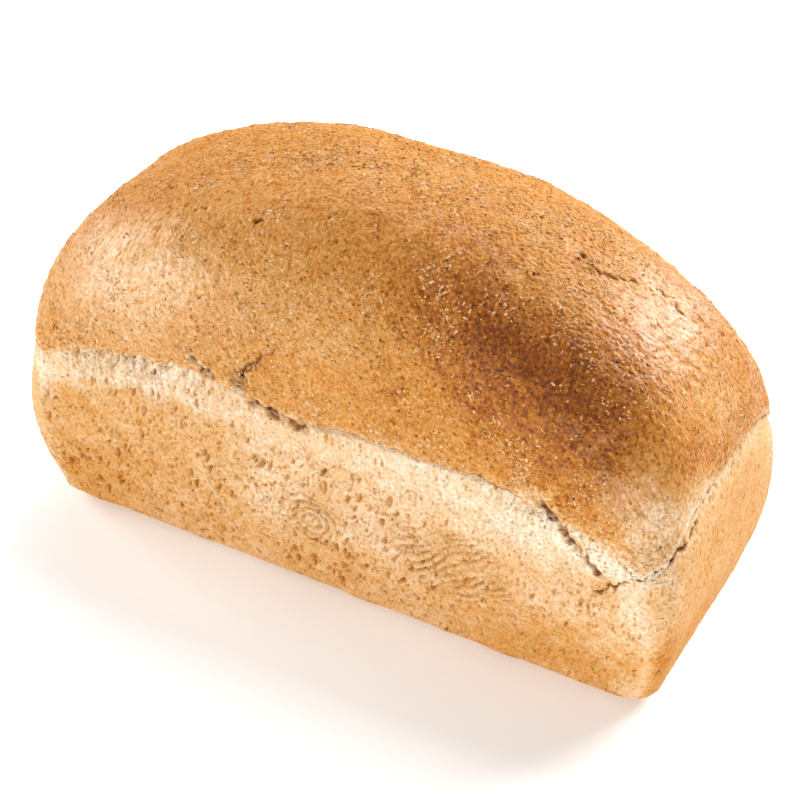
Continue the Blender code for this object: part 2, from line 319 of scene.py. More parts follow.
def side_fields(points):
    """Relief, browning, shade and gloss of the walls and the band, by place: the wall has waves, terraces
    of flowing folds and upright oval pits; the band has upright webs, threads and holes."""
    x, y, z = points.T
    corner = cornerness(x, y, RIM_LENGTH / 2, RIM_WIDTH / 2)
    above = z - RIM_HEIGHT + 0.8 * CORNER_DIP * corner
    torn = (tear(x, y) - 0.2) / 0.8
    at_end = ramp(np.abs(x), 0.124, 0.131)
    side = ramp(z, 0.0005, 0.0060)
    speck = bumps(points, 0.0019, 4)
    edge = above + 0.0022 * bumps(points, 0.014, 5) + 0.0014 * bumps(points, 0.0045, 6) + 0.0007 * speck
    bare = ramp(edge, -0.0022 - 0.0070 * (1 - torn) + 0.0075 * at_end, 0.0022 + 0.0080 * at_end)

    # Folds flow in arcs over the long sides, strongest on the lower half.
    warp = 0.0055 * drift(points, 0.021, (7, 8, 9)) + 0.0012 * drift(points, 0.0060, (71, 72, 73))
    streaming = np.maximum(ramp(bumps(points, 0.050, 10), -0.5, 0.2), hump(x, 0.050, 0.055))
    folded = side * (1 - at_end) * (0.20 + 0.80 * streaming * hump(z, 0.030, 0.044))
    wide_folds = ramp(bumps((points + warp) * (0.50, 1, 1.3), 0.0085, 12), -0.16, 0.22)
    rippled = np.zeros(len(points))
    for place, reach, along in (
            (RIPPLES, RIPPLES_REACH, 0.77 * z - 0.64 * x),
            (SWIRL, SWIRL_REACH, np.hypot(x - SWIRL[0], z - SWIRL[2]))):
        phase = math.pi / RIPPLE_SPACING * (along + 0.30 * warp[:, 0] + 0.30 * warp[:, 2])
        groove = (1 - np.abs(np.sin(phase))) ** 1.5 * (0.4 + 0.6 * ramp(bumps(points, 0.010, 11), -0.4, 0.4))
        rippled = np.maximum(rippled, groove * ramp(blob(points, place, reach), 0.0, 0.5))

    bulb = blob(points, BULB, BULB_REACH)
    foot_waves = hump(z, 0.0030, 0.0040) * (ramp(bumps(points * (1, 1, 0.3), 0.024, 25), -0.8, 0.9) - 1)

    # Steam pits, upright and leaning a little.
    leaning = (points + 0.25 * warp) * (1, 1, 0.42) + np.outer(z, (-0.22, 0, 0))
    crowd = (0.55 + 0.45 * ramp(bumps(points, 0.026, 14), -0.5, 0.4)) * (1 - 0.9 * at_end)
    crowd = crowd * (1 - 0.5 * ramp(np.abs(x + 0.030), 0.055, 0.115))
    large = ramp(1.7 * pits(leaning, 0.0027, 0.0006, 0.0016, 0.72, 15) * crowd, 0.0, 1.0)
    middling = ramp(1.5 * pits(leaning, 0.0018, 0.0005, 0.0010, 0.66, 16) * crowd, 0.0, 1.0)
    wall_relief = (
        (1 - 0.7 * at_end) * (0.00030 * bumps(points, 0.016, 17) + 0.00018 * bumps(points, 0.0060, 18))
        + 0.00012 * bumps(points, 0.0028, 19) + 0.00008 * bumps(points, 0.0015, 22)
        + 0.00060 * folded * (wide_folds - 1) - 0.00130 * rippled
        + 0.00100 * bulb
        - 0.0013 * large - 0.0008 * middling
    )
    wall_bake = (
        WALL_BROWNING + patches(points, WALL_PATCHES)
        + 0.05 * bumps(points, 0.045, 20) + 0.04 * bumps(points, 0.010, 21) + 0.02 * speck
        + 0.24 * large + 0.20 * middling + folded * (0.04 - 0.07 * wide_folds) + 0.12 * rippled
        + 0.11 * at_end - 0.25 * bulb - 0.12 * ramp(above, -0.026, 0.000) * ramp(x, -0.060, -0.010)
    )
    wall_shade = 0.20 * large + 0.16 * middling + 0.38 * rippled

    # Strands of the band, drawn upwards.
    sway = 0.0016 * bumps(points, 0.022, 31)
    upright = np.stack([x + sway, y + sway, 0.10 * z], axis=1)
    web = 1 - np.minimum(np.abs(bumps(upright, 0.0038, 32)) / 0.30, 1.0)
    thread = bumps(upright, 0.0018, 33)
    hair = bumps(upright, 0.0010, 38)
    crumb = bumps(points, 0.0021, 34)
    holes = ramp(1.3 * pits(points * (1, 1, 0.36), 0.0022, 0.0004, 0.0012, 0.60, 35), 0.0, 1.0)
    ragged = (0.20 + 0.80 * torn) * (1 - 0.6 * at_end)
    under = ramp(above, 0.004, 0.014)
    band_relief = (
        ragged * ((0.35 + 0.65 * under) * -0.00110 * web + 0.00034 * thread + 0.00016 * hair)
        + 0.00014 * crumb + 0.00007 * speck - (0.35 + 0.65 * torn) * 0.0012 * holes
    )
    band_bake = (
        0.12 - 0.06 * ramp(x, 0.0, 0.04) + 0.04 * bumps(points, 0.009, 36) + 0.02 * speck
        + ragged * (0.10 * web - 0.04 * thread)
        + 0.30 * holes + 0.12 * at_end + 0.06 * (1 - torn)
    )
    band_shade = ragged * ((0.10 + 0.12 * under) * web + 0.35 * holes + 0.12 * np.clip(-thread, 0, 1))
    # Painted shadow: the band is darkened just under the lip's edge.
    band_shade = band_shade + 0.35 * ramp(z - lip_line(x, y), -0.0022, -0.0004)

    # The corners' edges stay pale, in a wedge that narrows to the base.
    mirrored = np.stack([np.abs(x), -np.abs(y), z], axis=1)
    seam = near_chain(mirrored + 0.5 * warp, CORNER_SEAM) + 0.0012 * speck
    width = 0.0075 + 0.0075 * ramp(z, 0.026, 0.062)
    pale = 0.95 * (1 - ramp(seam, 0.15 * width, width)) * side

    opened, depth = openings(points)
    relief = side * (wall_relief + bare * (band_relief - wall_relief) - depth) - SKIN_INSET
    relief = relief + 0.0006 * foot_waves
    relief = np.where(z < 1e-6, 0.0, relief)
    bake = wall_bake + bare * (band_bake - wall_bake)
    bake = bake + pale * (0.18 + 0.6 * (bake - WALL_BROWNING) - bake) + 0.25 * opened
    bake = bake + 0.13 * blob(points, *CORNER_PATCH)
    shade = wall_shade + bare * (band_shade - wall_shade) + 0.80 * opened
    return relief, bake, np.clip(shade, 0, 1), 0.1 * (1 - bare)


def write_fields(mesh, bake, shade, gloss):
    """Stores each point's browning, shade and gloss, which the material reads."""
    for field, values in (("bake", bake), ("shade", shade), ("gloss", gloss)):
        mesh.attributes.new(field, "FLOAT", "POINT").data.foreach_set("value", values.astype(np.float32))


def crust_piece(name, points, quads, lids, sink, fields, material):
    """A closed mesh piece: points moved along their normals by the relief, less the sink of its hidden
    edges, then set about the loaf's middle, with its quads and lids."""
    relief, bake, shade, gloss = fields(points)
    skin = points + outward(points, quads) * (relief - sink)[:, None] - middle
    skin = np.clip(skin, np.array(cad_low), np.array(cad_high))
    mesh = bpy.data.meshes.new(name)
    mesh.from_pydata(skin.tolist(), [], quads.tolist() + [list(map(int, lid)) for lid in lids])
    write_fields(mesh, bake, shade, gloss)
    mesh.shade_smooth()
    piece = bpy.data.objects.new(name, mesh)
    bpy.context.scene.collection.objects.link(piece)
    mesh.materials.append(material)
    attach(piece, "root")
    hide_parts("loaf")
    return skin


def ring_rows(rows, columns):
    """Points of a stack of rings, each given as a surface and its second parameter."""
    way = np.arange(columns) * 4 / columns
    return np.concatenate([surface(way, np.full_like(way, share)) for surface, share in rows])


# The crust's material.
# Wheat crust browned by the oven, speckled with bran. A thin baked glaze gives the browned skin a soft,
# broken sheen; pale and torn parts have none, and a fine grain of crumbs dulls both.
CRUST_TONES = (
    (0.00, "E8DAC3"), (0.12, "DFC3A1"), (0.27, "D5AB7C"), (0.42, "CB9758"),
    (0.60, "C07F31"), (0.80, "9F5911"), (1.00, "6C3204"),
)
# Painted shade: each point's shade multiplies its colour by this tint, in pits, gaps, cracks, creases,
# ripples and under the lip.
PAINTED_SHADE_TINT = "7A5127"        # multiplies the colour inside pits, gaps and cracks
FLECK_WIDTH, GRAIN_WIDTH, PIT_SPACING = 0.0010, 0.0005, 0.0020
GLAZE_SHARE, GLAZE_ROUGHNESS, SKIN_SPECULAR = 0.85, 0.38, 0.15


def linear(code):
    """An sRGB hex colour as linear red, green, blue and 1."""
    values = [int(code[place:place + 2], 16) / 255 for place in (0, 2, 4)]
    return [v / 12.92 if v <= 0.04045 else ((v + 0.055) / 1.055) ** 2.4 for v in values] + [1.0]


def add_node(material, kind, settings=(), links=()):
    """Adds a shader node, sets its properties and sockets by name or number, and links its inputs."""
    node = material.node_tree.nodes.new(kind)
    for name, value in settings:
        if isinstance(name, str) and hasattr(node, name):
            setattr(node, name, value)
        else:
            node.inputs[name].default_value = value
    for name, source in links:
        material.node_tree.links.new(source, node.inputs[name])
    return node


def crust_material(name, sheen, matt, grain_depth, mottling, fleck_shift, pit_shift, pit_height):
    """Roughness where the skin is glossy and where it is matt, depth of the grain, how far the mottling,
    the flecks and the small pits shift the browning, and how tall a pit is for its width. The gloss also
    sets how much baked glaze lies on the skin."""
    material = bpy.data.materials.new(name)
    material.use_nodes = True
    tree = material.node_tree
    shader = tree.nodes["Principled BSDF"]
    place = add_node(material, "ShaderNodeTexCoord").outputs["Object"]
    browned = add_node(material, "ShaderNodeAttribute", [("attribute_name", "bake")]).outputs["Fac"]
    shade = add_node(material, "ShaderNodeAttribute", [("attribute_name", "shade")]).outputs["Fac"]
    glossy = add_node(material, "ShaderNodeAttribute", [("attribute_name", "gloss")]).outputs["Fac"]

    # Mottling of the browning at the size of a fleck, and single flecks paler or darker than the rest.
    mottle = add_node(
        material, "ShaderNodeTexNoise",
        [("Scale", 0.7 / FLECK_WIDTH), ("Detail", 2.0), ("Roughness", 0.75)], [("Vector", place)])
    spread = add_node(
        material, "ShaderNodeMapRange",
        [("From Min", 0.33), ("From Max", 0.67), ("To Min", -mottling), ("To Max", mottling)],
        [("Value", mottle.outputs["Fac"])])
    flecks = add_node(
        material, "ShaderNodeTexVoronoi",
        [("Scale", 1 / (1.8 * FLECK_WIDTH)), ("Randomness", 1.0)], [("Vector", place)])
    chance = add_node(material, "ShaderNodeSeparateColor", [], [("Color", flecks.outputs["Color"])])
    fleck = add_node(
        material, "ShaderNodeMapRange",
        [("From Min", 0.40), ("From Max", 0.20), ("To Min", 0.0), ("To Max", 1.0)],
        [("Value", flecks.outputs["Distance"])])
    lift = add_node(
        material, "ShaderNodeMapRange",
        [("From Min", 0.0), ("From Max", 1.0), ("To Min", -fleck_shift), ("To Max", fleck_shift)],
        [("Value", chance.outputs["Red"])])
    shift = add_node(
        material, "ShaderNodeMath", [("operation", "MULTIPLY")],
        [(0, fleck.outputs["Result"]), (1, lift.outputs["Result"])])
    tone = add_node(
        material, "ShaderNodeMath", [("operation", "ADD")],
        [(0, browned), (1, spread.outputs["Result"])])
    tone = add_node(
        material, "ShaderNodeMath", [("operation", "ADD")],
        [(0, tone.outputs["Value"]), (1, shift.outputs["Value"])])

    # Small steam pits with darker insides: cells of the lattice whose chance is high enough hold one, and
    # the chance also sets its width.
    stretched = add_node(
        material, "ShaderNodeMapping", [("Scale", (1.0, 1.0, 1 / pit_height))], [("Vector", place)])
    cells = add_node(
        material, "ShaderNodeTexVoronoi",
        [("Scale", 1 / PIT_SPACING), ("Randomness", 1.0)], [("Vector", stretched.outputs["Vector"])])
    luck = add_node(material, "ShaderNodeSeparateColor", [], [("Color", cells.outputs["Color"])])
    off = add_node(
        material, "ShaderNodeMath", [("operation", "MULTIPLY_ADD"), (1, 0.46)],
        [(0, luck.outputs["Green"]), (2, cells.outputs["Distance"])])
    pit = add_node(
        material, "ShaderNodeMapRange",
        [("From Min", 0.42), ("From Max", 0.28), ("To Min", 0.0), ("To Max", 1.0)],
        [("Value", off.outputs["Value"])])
    tone = add_node(
        material, "ShaderNodeMath", [("operation", "MULTIPLY_ADD"), (1, pit_shift)],
        [(0, pit.outputs["Result"]), (2, tone.outputs["Value"])])
    tones = add_node(material, "ShaderNodeValToRGB", [], [("Fac", tone.outputs["Value"])])
    stops = tones.color_ramp.elements
    while len(stops) < len(CRUST_TONES):
        stops.new(0.5)
    for stop, (position, code) in zip(stops, CRUST_TONES):
        stop.position = position
        stop.color = linear(code)
    # Painted shade: the colour is darkened by the tint in the measure of each point's shade.
    shaded = add_node(
        material, "ShaderNodeMix",
        [("data_type", "RGBA"), ("blend_type", "MULTIPLY"), (7, linear(PAINTED_SHADE_TINT))],
        [(0, shade), (6, tones.outputs["Color"])])
    tree.links.new(shaded.outputs[2], shader.inputs["Base Color"])

    gloss = add_node(
        material, "ShaderNodeMapRange",
        [("From Min", 0.0), ("From Max", 1.0), ("To Min", matt), ("To Max", sheen)],
        [("Value", glossy)])
    tree.links.new(gloss.outputs["Result"], shader.inputs["Roughness"])
    glaze = add_node(
        material, "ShaderNodeMath", [("operation", "MULTIPLY"), (1, GLAZE_SHARE)], [(0, glossy)])
    tree.links.new(glaze.outputs["Value"], shader.inputs["Coat Weight"])
    shader.inputs["Coat Roughness"].default_value = GLAZE_ROUGHNESS
    shader.inputs["Specular IOR Level"].default_value = SKIN_SPECULAR

    grain = add_node(
        material, "ShaderNodeTexNoise",
        [("Scale", 0.5 / GRAIN_WIDTH), ("Detail", 2.0), ("Roughness", 0.6)], [("Vector", place)])
    roughened = add_node(
        material, "ShaderNodeMapRange",
        [("From Min", 0.0), ("From Max", 1.0), ("To Min", 1.0), ("To Max", 0.50)], [("Value", glossy)])
    grain_bump = add_node(
        material, "ShaderNodeBump", [("Distance", grain_depth)],
        [("Strength", roughened.outputs["Result"]), ("Height", grain.outputs["Fac"])])
    fleck_bump = add_node(
        material, "ShaderNodeBump", [("Distance", 0.5 * grain_depth)],
        [("Strength", roughened.outputs["Result"]), ("Height", fleck.outputs["Result"]),
         ("Normal", grain_bump.outputs["Normal"])])
    pit_bump = add_node(
        material, "ShaderNodeBump",
        [("Strength", 1.0), ("Distance", 2 * pit_shift * grain_depth), ("invert", True)],
        [("Height", pit.outputs["Result"]), ("Normal", fleck_bump.outputs["Normal"])])
    tree.links.new(pit_bump.outputs["Normal"], shader.inputs["Normal"])
    return material


tin_crust = crust_material(
    "tin_formed_crust", sheen=0.55, matt=0.80, grain_depth=0.00072,
    mottling=0.11, fleck_shift=0.10, pit_shift=0.20, pit_height=2.0)
lower_rows = (
    [(base_surface, share) for share in (0.12, 0.4, 0.7, 0.9)]
    + [(foot_surface, share) for share in np.linspace(0, 0.9, 10)]
    + [(side_surface, climb) for climb in np.linspace(0, WALL_SPLIT + 0.045, 65)]
)
upper_rows = [(side_surface, climb) for climb in np.linspace(WALL_SPLIT - 0.045, 1.0, 68)]
upper_rows += [(side_surface, climb) for climb in np.linspace(1.04, 1.28, 7)]
lower_ring = ring_rows(lower_rows, WALL_COLUMNS)
upper_ring = ring_rows(upper_rows, WALL_COLUMNS)

# The solid stands centred on its base, so every piece is set about the middle of the upper ring.
middle =np.append((upper_ring.min(0) + upper_ring.max(0))[:2] / 2, 0.0)


def past_joint(rows, columns, low, high, wall_length, band_length):
    """The sink of a ring's rows below a low climb and above a high one: the square of the distance past
    the joint, times the joint's sink."""
    climb = np.repeat([share if surface is side_surface else 0.3 for surface, share in rows], columns)
    below = np.maximum(low - climb, 0.0) * wall_length
    above = np.maximum(climb - high, 0.0) * band_length
    return JOINT_SINK * (below ** 2 + above ** 2)


def end_lids(rows, columns):
    """The first row, turned over, and the last row, each as one face."""
    return [np.arange(columns)[::-1], np.arange(columns) + columns * (rows - 1)]


wall_length, band_length = 0.067, 0.0150    # metres of skin for each unit of climb
crust_piece(
    "tin_walls_lower", lower_ring, tube_faces(len(lower_rows), WALL_COLUMNS),
    end_lids(len(lower_rows), WALL_COLUMNS),
    past_joint(lower_rows, WALL_COLUMNS, 0.0, WALL_SPLIT, wall_length, wall_length),
    side_fields, tin_crust)
crust_piece(
    "tin_walls_upper", upper_ring, tube_faces(len(upper_rows), WALL_COLUMNS),
    end_lids(len(upper_rows), WALL_COLUMNS),
    past_joint(upper_rows, WALL_COLUMNS, WALL_SPLIT, 1.0, wall_length, band_length),
    side_fields, tin_crust)

# Torn band.
# Where the loaf sprang up out of the tin, the soft crumb was drawn out between rim and lip: pale upright
# webs with ragged holes, bare of crust. It runs up behind the lip, so every gap there shows crumb.
BAND_COLUMNS = 1720
band_climbs = np.concatenate([np.linspace(0.945, 1.0, 5)[:-1], np.linspace(1.0, 2.12, 46)])
band_rows = [(side_surface, climb) for climb in band_climbs]
torn_crumb = crust_material(
    "torn_crumb", sheen=0.75, matt=0.85, grain_depth=0.00070,
    mottling=0.09, fleck_shift=0.12, pit_shift=0.20, pit_height=3.0)
crust_piece(
    "torn_band", ring_rows(band_rows, BAND_COLUMNS), tube_faces(len(band_rows), BAND_COLUMNS),
    end_lids(len(band_rows), BAND_COLUMNS),
    past_joint(band_rows, BAND_COLUMNS, 1.0, 9.0, wall_length, band_length),
    side_fields, torn_crumb)

# Dome crust.
# The top of the loaf: a tight skin that set first and was lifted by the oven spring, browned and glossed
# by the heat. Its skirt ends in the ragged lip over the torn band, and its crown closes the top.
DOME_RISE, DOME_LEAN_WIDTH = 0.0733, 0.0055
END_FULLNESS, SIDE_FULLNESS = 2.09, 3.24
SHOULDER_SWELL, CROWN_SKEW, CROWN_SADDLE, PLAN_ROUNDING = 0.003, 0.026, -0.017, 1.04
DOME_UNEVENNESS = 0.0009
SHOULDER, OVERLAP = math.radians(30.0), math.radians(3.0)
RISE_LENGTH = 0.066           # metres of skin for each radian of rise at the shoulder
CAP_SPACING = 1.25            # above 1, the crown's rings crowd towards its top
SKIRT_COLUMNS, CAP_ALONG, CAP_ACROSS = 1400, 466, 204

# Notches and tabs of the lip on the long side at -Y: place along X, rise of the edge, and half width.
LIP_NOTCHES = (
    (-0.0470, 0.0034, 0.0026), (-0.0408, -0.0010, 0.0050), (-0.0345, 0.0030, 0.0036),
    (-0.0200, 0.0014, 0.0030), (-0.0085, 0.0016, 0.0030), (-0.0900, 0.0013, 0.0025),
    (-0.1060, 0.0011, 0.0020), (-0.0700, -0.0010, 0.0060), (0.0620, 0.0012, 0.0040),
    (0.1090, -0.0095, 0.0170),
)

dome_noise = sine_noise(23, 0.070)


def dome_surface(way, rise):
    """Rise 0 is the lip and a quarter turn the crown: half sizes shrink by powers of the cosine, the plan
    turns from the tin's outline to an oval, and height grows with the sine."""
    level = np.cos(rise)
    swell = 1 + SHOULDER_SWELL * np.sin(2 * rise)
    half_length = LIP_LENGTH / 2 * level ** (2 / END_FULLNESS) * swell
    half_width = LIP_WIDTH / 2 * level ** (2 / SIDE_FULLNESS) * swell
    radius = CORNER_RADIUS + (0.98 * half_width - CORNER_RADIUS) * np.sin(rise) ** PLAN_ROUNDING
    radius = np.minimum(radius, np.minimum(0.98 * half_width, 0.98 * half_length))
    x, y = outline(half_length, half_width, radius, way)
    z = LIP_HEIGHT + LIP_TILT * x / (RIM_LENGTH / 2)
    z = z - CORNER_DIP * cornerness(x, y, half_length, half_width) * level * level
    z = z + np.maximum(0.0, 1 - 3 * rise) * lip_lift(x, y)
    y = y + DOME_LEAN_WIDTH * (1 - level)
    along = x / (LIP_LENGTH / 2)
    z = z + DOME_RISE * np.sin(rise) * (1 + CROWN_SKEW * along + CROWN_SADDLE * along * along)
    z = z + DOME_UNEVENNESS * np.sin(rise) * dome_noise(x, y, z)
    return np.stack([x, y, z], axis=-1)


def ragged_edge(points):
    """The skirt's points with their lowest rows raised and lowered by noise and by the notches of the
    flap, fading out within some six to sixteen millimetres above the lip."""
    x, y, z = points.T
    flat = np.stack([x, y, 0 * z], axis=1)
    torn = (tear(x, y) - 0.2) / 0.8
    shift = (0.15 + 0.85 * torn) * (
        0.0010 * bumps(flat, 0.0095, 41) + 0.0007 * bumps(flat, 0.0034, 42)
        + 0.0003 * bumps(flat, 0.0015, 43))
    for place, lift, half_width in LIP_NOTCHES:
        shift = shift + (y < 0) * lift * hump(x, place, half_width)
    fade = 1 - ramp(z - lip_line(x, y), 0.0, 0.0065 + np.abs(shift))
    return np.stack([x, y, z + shift * fade], axis=1)


# Cracks of the skin: half width, depth and a chain of places. The first four run down to the flap at the
# left gap, the next three cross the right shoulder, and the last three are nicks in the skin.
CRACKS = (
    (0.0009, 0.0016, ((-0.0565, -0.056, 0.1008), (-0.0508, -0.056, 0.0950), (-0.0465, -0.056, 0.0915))),
    (0.0006, 0.0010, ((-0.0150, -0.050, 0.1185), (-0.0195, -0.052, 0.1136), (-0.0216, -0.0533, 0.1107))),
    (0.0009, 0.0017, ((-0.0216, -0.0533, 0.1107), (-0.0251, -0.0544, 0.1080), (-0.0300, -0.055, 0.1025))),
    (0.0012, 0.0016, ((-0.0300, -0.055, 0.1025), (-0.0345, -0.056, 0.0975))),
    (0.0007, 0.0011, ((0.0700, 0.004, 0.1500), (0.0780, 0.000, 0.1466), (0.0881, 0.008, 0.1416))),
    (0.0004, 0.0006, ((0.0954, 0.0135, 0.1375), (0.0984, 0.0128, 0.1356))),
    (0.0006, 0.0008, ((0.1012, 0.0140, 0.1338), (0.1034, 0.0126, 0.1324), (0.1058, 0.0136, 0.1306))),
    (0.0010, 0.0012, ((-0.0376, -0.0352, 0.1507), (-0.0366, -0.0352, 0.1507))),
    (0.0005, 0.0010, ((-0.0620, -0.0331, 0.1470), (-0.0600, -0.0331, 0.1480))),
    (0.0006, 0.0008, ((-0.0545, -0.0515, 0.1235), (-0.0520, -0.0520, 0.1215))),
)

# Where the skin is flakiest, the pale side of the crack by the flap, the lip's pale edge round the near
# corner, and the flap with the recess behind its edge.
FLAKY_PATCHES = (
    ((-0.0083, -0.0284, 0.1560), 0.008), ((0.0073, -0.046, 0.136), 0.009), ((-0.053, -0.0518, 0.1221), 0.005),
)
PALE_CRACK = ((-0.0545, -0.0560, 0.0985), (-0.0490, -0.0560, 0.0945))
PALE_LIP = (
    (0.0840, -0.0560, 0.0880), (0.0930, -0.0560, 0.0810), (0.1090, -0.0560, 0.0720),
    (0.1200, -0.0550, 0.0740), (0.1300, -0.0450, 0.0790), (0.1340, -0.0250, 0.0830),
)
FLAP = (-0.0410, -0.056, 0.0930), (0.0060, 0.020, 0.0070)
RECESS = (-0.0345, -0.056, 0.0955), (0.0046, 0.020, 0.0056)

# Where the baked glaze lies on the skin, and where the browning is deeper or paler than the rest:
# strength, middle and reach. Over the near right shoulder the deeper browning is partly real and partly
# painted shade; most paler patches, on the left shoulder, the right end and by the near corner, are painted
# highlights.
SHEEN_PATCHES = (
    (1.0, (-0.0800, -0.0500, 0.1170), (0.060, 0.045, 0.032)),
    (0.6, (0.1040, 0.0065, 0.1310), (0.036, 0.050, 0.040)),
    (0.6, (0.1200, -0.0500, 0.0940), (0.022, 0.030, 0.020)),
    (0.3, (0.0840, -0.0420, 0.1270), (0.060, 0.040, 0.044)),
)
DOME_BROWNING = 0.58
BROWNING_AND_PAINTED_LIGHT_PATCHES = (
    (0.34, (0.084, -0.042, 0.127), (0.056, 0.036, 0.040)),
    (0.20, (0.046, -0.041, 0.141), (0.036, 0.030, 0.026)),
    (0.09, (0.034, -0.024, 0.154), (0.050, 0.034, 0.024)),
    (-0.10, (0.122, -0.038, 0.107), (0.015, 0.018, 0.015)),
    (0.15, (0.128, -0.026, 0.104), (0.022, 0.028, 0.024)),
    (-0.12, (0.126, 0.000, 0.112), (0.020, 0.030, 0.024)),
    (0.06, (0.090, -0.054, 0.098), (0.036, 0.030, 0.018)),
    (0.05, (-0.075, -0.010, 0.150), (0.030, 0.040, 0.030)),
    (-0.14, (-0.083, -0.050, 0.118), (0.036, 0.030, 0.022)),
    (-0.14, (-0.048, -0.050, 0.126), (0.042, 0.028, 0.024)),
    (-0.14, (-0.064, -0.046, 0.133), (0.024, 0.022, 0.016)),
    (0.08, (0.058, -0.052, 0.118), (0.024, 0.024, 0.018)),
    (0.07, (0.100, -0.012, 0.132), (0.016, 0.018, 0.016)),
    (-0.02, (0.104, 0.0065, 0.131), (0.026, 0.036, 0.026)),
    (-0.14, (0.120, -0.050, 0.094), (0.018, 0.026, 0.016)),
    (-0.16, (-0.096, -0.050, 0.110), (0.050, 0.030, 0.040)),
    (-0.07, (-0.003, -0.052, 0.122), (0.045, 0.025, 0.024)),
)


def dome_fields(points):
    """Relief, browning, shade and gloss of the dome, by place: waves and a leathery grain, creases,
    curled flecks of bran, pits, cracks, and a browning that is deepest along the near right shoulder, there
    partly painted shade, with paler painted highlights on the left shoulder, the right end and by the near
    corner."""
    x, y, z = points.T
    above_lip = z - lip_line(x, y)
    torn = (tear(x, y) - 0.2) / 0.8
    warp = 0.0026 * drift(points, 0.010, (63, 64, 65))
    rough = ramp(bumps(points, 0.050, 56), -0.5, 0.5)
    for place, reach in FLAKY_PATCHES:
        rough = np.maximum(rough, 1.5 * blob(points, place, (reach, reach, reach)))
    crease = 1 - np.minimum(np.abs(bumps(points + warp, 0.0046, 66)) / 0.22, 1.0)
    curls = pits(points, 0.0018, 0.0004, 0.0011, 0.60, 67, tilt=1.2) * (0.45 + 0.55 * rough)
    skin_pits = pits(points, 0.0034, 0.0004, 0.0013, 0.30, 54)
    fine_pits = pits(points, 0.0015, 0.0003, 0.0006, 0.30, 55)
    wander = 0.0008 * drift(points, 0.0045, (51, 52, 53))
    cracked, crack_depth = np.zeros(len(points)), np.zeros(len(points))
    for half_width, depth, chain in CRACKS:
        here = 1 - ramp(near_chain(points + wander, chain), 0.3 * half_width, 1.5 * half_width)
        cracked, crack_depth = np.maximum(cracked, here), np.maximum(crack_depth, depth * here)
    opened, depth = openings(points)
    cracked, crack_depth = np.maximum(cracked, opened), np.maximum(crack_depth, depth)
    flap = blob(points, *FLAP)
    recess = ramp(blob(points + wander, *RECESS), 0.10, 0.45)
    grain = bumps(points, 0.0017, 68)
    pale_crack = 1 - ramp(near_chain(points, PALE_CRACK), 0.0006, 0.0022)
    relief = (
        - SKIN_INSET
        + 0.00022 * bumps(points, 0.016, 57) + 0.00016 * bumps(points, 0.0060, 58)
        + 0.00013 * bumps(points, 0.0030, 59) + (0.00009 + 0.00007 * rough) * grain
        - (0.00018 + 0.00018 * rough) * crease + 0.00065 * curls
        - 0.0008 * skin_pits - 0.00030 * fine_pits - crack_depth + 0.0005 * flap - 0.0010 * recess
    )
    margin = 1 - ramp(above_lip + 0.0015 * bumps(points, 0.0050, 69) + 0.0008 * grain, -0.0010, 0.0045)
    pale_lip = near_chain(points + warp, PALE_LIP)
    pale_width = 0.0080 + 0.0140 * ramp(x, 0.095, 0.126)
    bake = (
        # Painted shade over the near right shoulder and painted highlights come in with these patches.
        DOME_BROWNING + patches(points, BROWNING_AND_PAINTED_LIGHT_PATCHES)
        + 0.03 * bumps(points, 0.050, 60) + 0.03 * bumps(points, 0.012, 61) + 0.04 * bumps(points, 0.0042, 62)
        + 0.05 * grain - 0.02 * ramp(z, 0.146, 0.156) + 0.02 * ramp(x, 0.0, 0.10)
        - 0.07 * (1 - ramp(above_lip, 0.000, 0.030)) * (1 - ramp(x, 0.030, 0.080))
        - margin * (0.26 - 0.16 * torn)
        - 0.34 * (1 - ramp(pale_lip + 0.0015 * grain, 0.2 * pale_width, pale_width))
        + 0.05 * fine_pits + 0.14 * skin_pits - 0.28 * curls + 0.05 * crease
        - 0.16 * recess - 0.25 * pale_crack
    )
    shade = 0.85 * cracked + 0.20 * skin_pits + 0.05 * fine_pits + 0.07 * crease + 0.45 * recess
    gloss = 0.12 + patches(points, SHEEN_PATCHES)
    return relief, bake, np.clip(shade, 0, 1), np.clip(gloss + 0.15 * bumps(points, 0.009, 70), 0, 1)


# The skirt starts inside the loaf, runs out under the lip's edge and round it, and up to the shoulder.
under_lip = ((0.0070, 0.0024), (0.0040, 0.0013), (0.0020, 0.0005), (0.0009, 0.0001), (0.0003, 0.0001))
way = np.arange(SKIRT_COLUMNS) * 4 / SKIRT_COLUMNS
lip = dome_surface(way, np.full_like(way, 0.004))
skirt = []
for inset, lift in under_lip:
    x, y = outline(LIP_LENGTH / 2 - inset, LIP_WIDTH / 2 - inset, CORNER_RADIUS, way)
    skirt.append(np.stack([x, y, lip[:, 2] + lift], axis=-1))
rises = np.concatenate([
    np.linspace(0.008, 0.17, 26), np.linspace(0.178, SHOULDER + OVERLAP, 39)])
skirt += [dome_surface(way, np.full_like(way, rise)) for rise in rises]
skirt_sink = np.repeat(
    [0.0] * len(under_lip) + [JOINT_SINK * max(0.0, (rise - SHOULDER) * RISE_LENGTH) ** 2 for rise in rises],
    SKIRT_COLUMNS)
browned_crust = crust_material(
    "browned_crust", sheen=0.35, matt=0.55, grain_depth=0.00085,
    mottling=0.14, fleck_shift=0.18, pit_shift=0.06, pit_height=1.0)
skirt_skin = crust_piece(
    "dome_skirt", ragged_edge(np.concatenate(skirt)), tube_faces(len(skirt), SKIRT_COLUMNS),
    end_lids(len(skirt), SKIRT_COLUMNS), skirt_sink, dome_fields, browned_crust)

